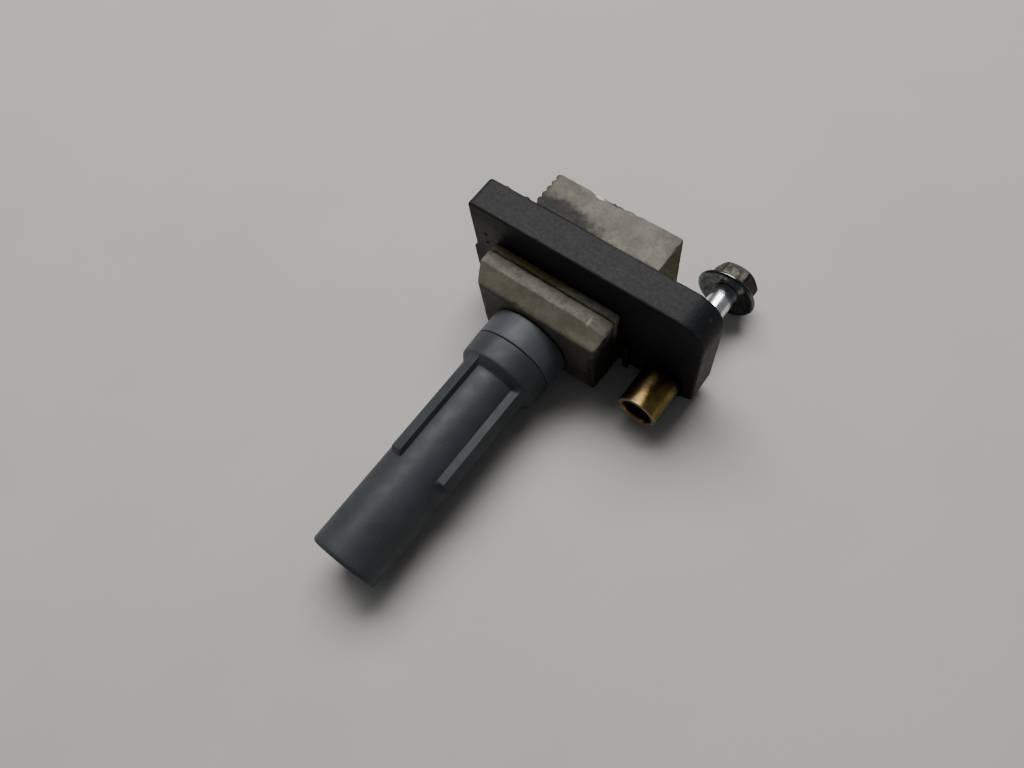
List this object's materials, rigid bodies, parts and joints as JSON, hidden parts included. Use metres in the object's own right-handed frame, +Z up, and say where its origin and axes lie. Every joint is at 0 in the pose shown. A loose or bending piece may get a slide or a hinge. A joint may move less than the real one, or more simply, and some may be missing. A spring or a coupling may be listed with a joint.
{
  "type": "ignition coil",
  "caption": "Plug-top ignition coil: black flange plate between two moulded blocks, ribbed rubber boot, metal sleeve and a raised hex fixing bolt.",
  "frame": {"origin": "under the middle of the coil's box, at the lowest point of the bolt washer, which is level with the seal ring within 0.2 mm, with the coil lying on its side", "axes": "+Y along the plug axis from the boot's tip to the coil's head, +X along the flange plate towards the bolt lug, +Z up through the plate's long edge that faces up"},
  "size_m": [0.0632, 0.1072, 0.0334],
  "materials": {
    "black_plastic": "matte black moulded plastic, lightly scuffed",
    "case_plastic": "weathered grey-tan moulded plastic, mottled",
    "cup_plastic": "oil-stained grey-tan plastic",
    "boot_rubber": "satin blue-grey silicone rubber",
    "sleeve_brass": "yellow plated steel, darkened by heat",
    "zinc_steel": "zinc plated steel, weathered",
    "washer_steel": "dark greenish plated steel",
    "core_steel": "laminated electrical steel",
    "magnet_grey": "sintered magnet",
    "bobbin_plastic": "cream moulded plastic",
    "copper_wire": "enamelled copper wire",
    "board_green": "green circuit board",
    "chip_black": "black epoxy package",
    "spreader_aluminium": "plain aluminium",
    "tinned_brass": "tinned brass",
    "ceramic_white": "unglazed ceramic"
  },
  "bodies": {
    "coil": {"flange_plate": "black_plastic", "lower_case": "case_plastic", "inner_case": "cup_plastic", "head_cover": "case_plastic", "connector_shell": "black_plastic", "terminal_pin_1": "tinned_brass", "terminal_pin_2": "tinned_brass", "terminal_pin_3": "tinned_brass", "core_e_stack": "core_steel", "core_bar": "core_steel", "bias_magnet": "magnet_grey", "primary_bobbin": "bobbin_plastic", "primary_winding": "copper_wire", "secondary_bobbin": "bobbin_plastic", "secondary_winding": "copper_wire", "igniter_board": "board_green", "power_transistor": "chip_black", "heat_spreader": "spreader_aluminium", "capacitor": "chip_black", "mount_sleeve": "sleeve_brass", "hv_lead": "copper_wire", "suppressor_resistor": "ceramic_white", "hv_terminal": "tinned_brass", "contact_spring": "zinc_steel", "boot": "boot_rubber", "seal_ring": "boot_rubber"},
    "captive_washer": {"bolt_washer": "washer_steel"},
    "fixing_bolt": {"bolt": "zinc_steel"},
    "plug_cup": {"plug_contact": "tinned_brass"}
  },
  "joints": [
    {"name": "bolt_slide", "type": "slide", "parent": "coil", "child": "captive_washer", "axis": [0, -1, 0], "range_m": [-0.002, 0.0175]},
    {"name": "bolt_spin", "type": "hinge", "parent": "captive_washer", "child": "fixing_bolt", "pos_m": [0.0238, 0.04925, 0.0074], "axis": [0, 1, 0], "continuous": true},
    {"name": "contact_press", "type": "slide", "parent": "coil", "child": "plug_cup", "axis": [0, 1, 0], "range_m": [0, 0.004], "stiffness_N_per_m": 900, "deforming": ["contact_spring"]}
  ]
}
